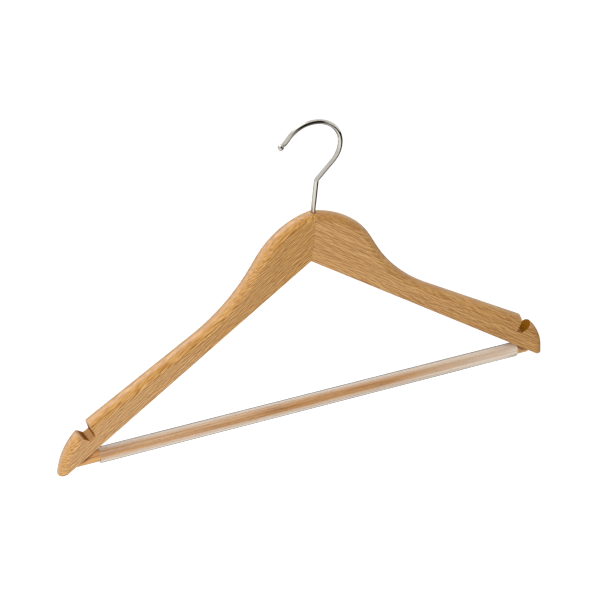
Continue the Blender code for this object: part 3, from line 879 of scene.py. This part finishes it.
def board(side, name, node, material, slot):
    """One board, lofted level by level through its thickness because its round edge runs out at the tip."""
    levels = [
        [in_world(side, along, through, height) for along, height in board_outline(through, *insets)]
        for through, *insets in board_levels()
    ]
    row = len(levels[0])
    verts = [vert for level in levels for vert in level]
    faces = []
    for level in range(len(levels) - 1):
        for index in range(row - 1):
            near = level * row + index
            faces.append((near, near + row, near + row + 1, near + 1))
    last = (len(levels) - 1) * row
    faces.append(list(range(row)))
    faces.append(list(range(last, last + row)))
    starts = [level * row for level in range(len(levels))]
    faces.append(starts + [start + row - 1 for start in reversed(starts)])
    piece = solid_from(name, verts, faces)

    pick(piece, "FACE", lambda middle, normal: abs(normal.dot(square_to(side))) > 0.9999)
    bpy.ops.mesh.inset(thickness=FACE_BAND, depth=0.0)
    object_mode()

    cut(piece, notch_space(side))
    ease_notch(side, piece)

    cut(piece, cylinder(STEM_HOLE_RADIUS, CROTCH_Z - CENTRE_HEIGHT, WOOD_TOP_Z + CENTRE_HEIGHT))
    cut(piece, cylinder(COUNTERBORE_RADIUS, CROTCH_Z - CENTRE_HEIGHT, CROTCH_Z + COUNTERBORE_DEPTH))
    cut(piece, bar_blank(BAR_CLEARANCE))
    finish_piece(piece, name, material, "wooden_frame", slot, node)


def bar_blank(clearance):
    """The trouser bar with a turned tenon at each end, or the space that it needs in the boards."""
    shoulder = BAR_SHOULDER_X + clearance
    bpy.ops.object.select_all(action="DESELECT")
    bpy.ops.mesh.primitive_cylinder_add(
        vertices=ROUND_SIDES, radius=BAR_RADIUS + clearance, depth=2 * shoulder,
        location=(0.0, BAR_Y, BAR_Z), rotation=(0.0, math.pi / 2, 0.0),
    )
    piece = bpy.context.object
    bpy.ops.object.transform_apply(location=True, rotation=True, scale=True)
    for end in (-1, 1):
        pick(piece, "FACE", lambda middle, normal: middle.x * end > shoulder - SAME_PLACE)
        bpy.ops.mesh.inset(thickness=BAR_RADIUS - TENON_RADIUS, depth=0.0)
        bpy.ops.mesh.extrude_region_move(TRANSFORM_OT_translate={"value": (end * TENON_LENGTH, 0.0, 0.0)})
        object_mode()
    return piece


def trouser_bar(material):
    """The bar, with its tenons' ends and its shoulders eased."""
    piece = bar_blank(0.0)

    def rim(first, second):
        past_shoulder = abs(first.x) - BAR_SHOULDER_X
        at_rim = min(abs(past_shoulder), abs(past_shoulder - TENON_LENGTH)) < SAME_PLACE
        return at_rim and abs(first.x - second.x) < SAME_LEVEL

    pick(piece, "EDGE", rim)
    bpy.ops.mesh.bevel(offset=BAR_CHAMFER, segments=2, affect="EDGES")
    object_mode()
    finish_piece(piece, "bar", material, "wooden_frame", "turned_beech", "trouser_bar")


def bar_sleeve(material):
    """A tube with ribs along it, drawn from a ribbed ring and a round one, with its cut ends joined."""
    rings = []
    for radius in (SLEEVE_BORE_RADIUS + SLEEVE_WALL, SLEEVE_BORE_RADIUS):
        bpy.ops.object.select_all(action="DESELECT")
        bpy.ops.mesh.primitive_circle_add(
            vertices=SLEEVE_RIBS * SIDES_OF_A_RIB, radius=radius,
            location=(SLEEVE_LEFT_X, BAR_Y, BAR_Z), rotation=(0.0, math.pi / 2, 0.0),
        )
        ring = bpy.context.object
        bpy.ops.object.transform_apply(location=True, rotation=True, scale=True)
        rings.append(ring)
    outer, inner = rings
    for vert in outer.data.vertices:
        spoke = Vector((0.0, vert.co.y - BAR_Y, vert.co.z - BAR_Z))
        angle = math.atan2(spoke.z, spoke.y)
        ripple = (1 + math.cos(SLEEVE_RIBS * angle)) / 2
        vert.co += spoke.normalized() * SLEEVE_RIB_HEIGHT * ripple
    for ring in rings:
        only(ring)
        bpy.ops.object.mode_set(mode="EDIT")
        bpy.ops.mesh.select_mode(type="EDGE")
        bpy.ops.mesh.select_all(action="SELECT")
        stride = (SLEEVE_TOUCH_X - SLEEVE_LEFT_X) / SLEEVE_STEPS
        for _ in range(SLEEVE_STEPS):
            bpy.ops.mesh.extrude_edges_move(TRANSFORM_OT_translate={"value": (stride, 0.0, 0.0)})
        object_mode()
    bpy.ops.object.select_all(action="DESELECT")
    inner.select_set(True)
    outer.select_set(True)
    bpy.context.view_layer.objects.active = outer
    bpy.ops.object.join()
    for end in (SLEEVE_LEFT_X, SLEEVE_TOUCH_X):
        pick(outer, "EDGE", lambda *ends: all(abs(point.x - end) < SAME_PLACE for point in ends))
        bpy.ops.mesh.bridge_edge_loops()
        object_mode()
    turn_outwards(outer)

    def rim(first, second):
        """The edges round the tube's ends, and not the ones across its wall."""
        at_end = min(abs(first.x - SLEEVE_LEFT_X), abs(first.x - SLEEVE_TOUCH_X)) < SAME_PLACE
        first_out, second_out = (math.hypot(point.y - BAR_Y, point.z - BAR_Z) for point in (first, second))
        round_the_end = abs(first_out - second_out) < SLEEVE_WALL / 2
        return at_end and abs(first.x - second.x) < SAME_LEVEL and round_the_end

    pick(outer, "EDGE", rim)
    bpy.ops.mesh.bevel(offset=SLEEVE_CUT_EDGE, segments=2, affect="EDGES")
    object_mode()
    finish_piece(outer, "ribbed_sleeve", material, "wooden_frame", "clear_vinyl", "bar_sleeve")


def hook(material):
    """One wire from its head in the wood to its ball, drawn on from a ring by extruding and spinning."""
    centre = Vector((-LOOP_OFFSET, 0.0, LOOP_CENTRE_Z))
    bend = Vector((0.0, 0.0, WOOD_TOP_Z + STEM_ABOVE_WOOD))
    reach = (bend - centre).length
    to_bend = math.atan2(bend.z - centre.z, bend.x - centre.x)
    loop_start = to_bend + math.acos(LOOP_RADIUS / reach)
    tangent = centre + LOOP_RADIUS * Vector((math.cos(loop_start), 0.0, math.sin(loop_start)))
    neck_way = (tangent - bend).normalized()
    kink = math.acos(neck_way.z)
    setback = STEM_BEND_RADIUS * math.tan(kink / 2)
    head_bottom = CROTCH_Z + COUNTERBORE_DEPTH - WASHER_THICKNESS - 2 * SEAT_GAP - HEAD_HEIGHT
    foot = Vector((0.0, 0.0, head_bottom))

    bpy.ops.object.select_all(action="DESELECT")
    bpy.ops.mesh.primitive_circle_add(vertices=WIRE_SIDES, radius=HEAD_RADIUS * HEAD_FOOT, location=foot)
    piece = bpy.context.object
    bpy.ops.object.transform_apply(location=True, rotation=True, scale=True)
    bpy.ops.object.mode_set(mode="EDIT")
    bpy.ops.mesh.select_mode(type="EDGE")
    bpy.ops.mesh.select_all(action="SELECT")
    bpy.ops.mesh.edge_face_add()
    bpy.ops.mesh.select_mode(type="EDGE")
    ring = {"way": Vector((0.0, 0.0, 1.0)), "middle": foot, "radius": HEAD_RADIUS * HEAD_FOOT}

    def on(distance, radius=None):
        """Extrudes the open end straight on, and brings it to a new radius."""
        move = ring["way"] * distance
        bpy.ops.mesh.extrude_edges_move(TRANSFORM_OT_translate={"value": move})
        ring["middle"] = ring["middle"] + move
        if radius:
            share = radius / ring["radius"]
            bpy.ops.transform.resize(value=(share, share, share), center_override=ring["middle"])
            ring["radius"] = radius

    def round_to(middle, turn, steps):
        """Spins the open end about a point, towards +X for a positive turn."""
        bpy.ops.mesh.spin(steps=steps, angle=-turn, center=middle, axis=(0.0, 1.0, 0.0), dupli=False)
        spun = Matrix.Rotation(turn, 3, "Y")
        ring["middle"] = middle + spun @ (ring["middle"] - middle)
        ring["way"] = spun @ ring["way"]

    def run(length, steps):
        """Extrudes the open end straight on in equal steps."""
        for _ in range(steps):
            on(length / steps)

    for height_share, radius_share in HEAD_PROFILE:
        on(HEAD_HEIGHT * height_share, HEAD_RADIUS * radius_share)
    on(HEAD_STEP, WIRE_RADIUS)
    run(bend.z - setback - ring["middle"].z, STEM_STEPS)
    round_to(ring["middle"] + Vector((STEM_BEND_RADIUS, 0.0, 0.0)), kink, BEND_STEPS)
    run((tangent - bend).length - setback, RISE_STEPS)
    round_to(centre, loop_start - LOOP_END_ANGLE, LOOP_STEPS)
    outward = Matrix.Rotation(math.pi / 2, 3, "Y") @ ring["way"]
    round_to(ring["middle"] + outward * (FLARE_LENGTH / FLARE_ANGLE), FLARE_ANGLE, BEND_STEPS)
    on(NECK_SHOULDER, WIRE_RADIUS * NECK_SHOULDER_SHARE)
    on(NECK_SHOULDER, HOOK_NECK_RADIUS)
    on(NECK_LENGTH - 2 * NECK_SHOULDER)
    first_angle = math.asin(HOOK_NECK_RADIUS / BALL_RADIUS)
    before = -BALL_RADIUS * math.cos(first_angle)
    for step in range(1, BALL_STEPS + 1):
        angle = first_angle + (BALL_END_ANGLE - first_angle) * step / BALL_STEPS
        after = -BALL_RADIUS * math.cos(angle)
        on(after - before, BALL_RADIUS * math.sin(angle))
        before = after
    bpy.ops.mesh.edge_face_add()
    object_mode()
    turn_outwards(piece)
    finish_piece(piece, "wire_hook", material, "hook", "chrome", "hook")


def hook_washer(material):
    """A stamped flat washer in the roof of the counterbore."""
    top = CROTCH_Z + COUNTERBORE_DEPTH - SEAT_GAP
    piece = cylinder(WASHER_RADIUS, top - WASHER_THICKNESS, top, WASHER_SIDES)
    pick(piece, "FACE", lambda middle, normal: abs(normal.z) > 0.9)
    bpy.ops.mesh.inset(thickness=WASHER_RADIUS - STEM_HOLE_RADIUS, depth=0.0)
    bpy.ops.mesh.bridge_edge_loops()
    object_mode()

    def rim(first, second):
        at_rim = math.hypot(first.x, first.y) > WASHER_RADIUS - SAME_PLACE
        return at_rim and abs(first.z - second.z) < SAME_LEVEL

    pick(piece, "EDGE", rim)
    bpy.ops.mesh.bevel(offset=WASHER_EDGE, segments=2, affect="EDGES")
    object_mode()
    turn_outwards(piece)
    finish_piece(piece, "flat_washer", material, "wooden_frame", "zinc", "hook_washer")


def camera():
    """The photo's view, found by fitting the two boards as mirror images of each other."""
    made = bpy.data.objects.new("camera", bpy.data.cameras.new("camera"))
    bpy.context.scene.collection.objects.link(made)
    made.data.sensor_width = 36.0
    made.data.lens = 74.956
    made.data.clip_start = 0.05
    right = Vector((0.912615, -0.401057, 0.079289))
    up = Vector((0.203971, 0.614765, 0.761879))
    made.matrix_world = Matrix((right, up, right.cross(up))).transposed().to_4x4()
    made.location = (-0.36797, -0.69887, 0.49200)
    bpy.context.scene.camera = made


def lamp(name, place, aim, width, height, power):
    """A soft rectangular lamp at a place, aimed at a point."""
    made = bpy.data.objects.new(name, bpy.data.lights.new(name, "AREA"))
    bpy.context.scene.collection.objects.link(made)
    made.data.shape = "RECTANGLE"
    made.data.size = width
    made.data.size_y = height
    made.data.energy = power
    made.location = place
    made.rotation_mode = "QUATERNION"
    made.rotation_quaternion = (Vector(aim) - Vector(place)).to_track_quat("-Z", "Y")
    return made


def dark_card(name, place, size, turn=(0.0, 0.0, 0.0), shade=BLACK_FELT):
    """A flat card, turned by degrees about each axis."""
    turned = [math.radians(angle) for angle in turn]
    bpy.ops.object.select_all(action="DESELECT")
    bpy.ops.mesh.primitive_plane_add(size=1.0, location=place, rotation=turned)
    card = bpy.context.object
    card.scale = (*size, 1.0)
    only_in_reflections(card, name, shade)


def dark_surround(name, hole, reach, height, turn, front):
    """A black ring round the white floor, without its front part. The turn is in degrees."""
    bpy.ops.object.select_all(action="DESELECT")
    bpy.ops.mesh.primitive_circle_add(vertices=ROUND_SIDES, radius=hole, location=(0.0, 0.0, height))
    ring = bpy.context.object
    bpy.ops.object.mode_set(mode="EDIT")
    bpy.ops.mesh.select_mode(type="EDGE")
    bpy.ops.mesh.select_all(action="SELECT")
    bpy.ops.mesh.extrude_edges_move()
    share = reach / hole
    bpy.ops.transform.resize(value=(share, share, 1.0), center_override=(0.0, 0.0, height))
    bpy.ops.mesh.select_all(action="SELECT")
    away = Matrix.Rotation(math.radians(turn), 3, "Z") @ Vector((0.0, 1.0, 0.0))
    bpy.ops.mesh.bisect(
        plane_co=away * front + Vector((0.0, 0.0, height)), plane_no=away, clear_inner=True
    )
    object_mode()
    only_in_reflections(ring, name, BLACK_FELT)


def only_in_reflections(card, name, shade):
    """Makes a dark card that only reflections see. It gives the metal and the clear tube their dark lines."""
    card.name = name
    felt = Finish(f"{name}_felt", 1.0)
    felt.set(Base_Color=(shade, shade, shade, 1.0), Specular_IOR_Level=0.0)
    card.data.materials.append(felt.material)
    card.visible_camera = False
    card.visible_diffuse = False
    card.visible_transmission = False
    card.visible_shadow = False


def studio():
    """A white surround, a pale floor well below the hanging hanger, and soft lamps."""
    world = bpy.data.worlds.new("studio")
    bpy.context.scene.world = world
    world.use_nodes = True
    sky = Nodes(world.node_tree)
    background = sky.tree.nodes["Background"]
    background.inputs["Color"].default_value = (1.0, 1.0, 1.0, 1.0)
    sky.join(background.inputs["Strength"], sky.background_ray() * (1.0 - SOFT_LIGHT) + SOFT_LIGHT)

    bpy.ops.object.select_all(action="DESELECT")
    bpy.ops.mesh.primitive_plane_add(size=FLOOR_WIDTH, location=(0.0, 0.0, FLOOR_HEIGHT))
    floor = bpy.context.object
    floor.name = "floor"
    paint = Finish("floor_paint", 0.7)
    paint.set(Base_Color=(0.82, 0.82, 0.82, 1.0))
    glow = paint.node("ShaderNodeEmission", values={"Strength": paint.background_ray() * FLOOR_GLOW})
    paint.show(paint.node("ShaderNodeAddShader", values={0: paint.surface, 1: glow}))
    floor.data.materials.append(paint.material)

    dark_card("front_card", (0.27, -1.27, 0.95), (2.6, 1.9), turn=(60.0, 0.0, 12.0))
    dark_card("side_card", (0.42, -1.25, -0.22), (0.75, 0.75), turn=(90.0, 0.0, 18.0))
    dark_card("low_card", (1.6, -1.9, -0.71), (2.6, 3.4), shade=0.60)
    dark_card("under_card", (0.0, 0.0, -0.72), (0.8, 0.5), shade=0.20)
    dark_card("outline_card", (0.22, 0.34, -0.715), (0.70, 0.36), shade=0.10)
    dark_surround("rear_card", hole=0.70, reach=3.0, height=-0.70, turn=-55.0, front=-0.20)
    key = lamp("key", (-0.80, -1.14, 0.53), (-0.05, 0.0, -0.17), width=0.9, height=0.9, power=11.8)
    key.visible_glossy = False
    lamp("top", (-0.45, 0.75, 1.0), (0.0, 0.0, -0.17), width=0.9, height=0.9, power=7.0)


camera()
studio()
board(-1, "left_board", "left_arm", straight_grained_beech(), "straight_grained_beech")
board(1, "right_board", "right_arm", figured_beech(), "figured_beech")
trouser_bar(turned_beech())
bar_sleeve(clear_vinyl())
hook(chrome())
hook_washer(zinc())

bpy.context.scene.view_settings.view_transform = "Standard"
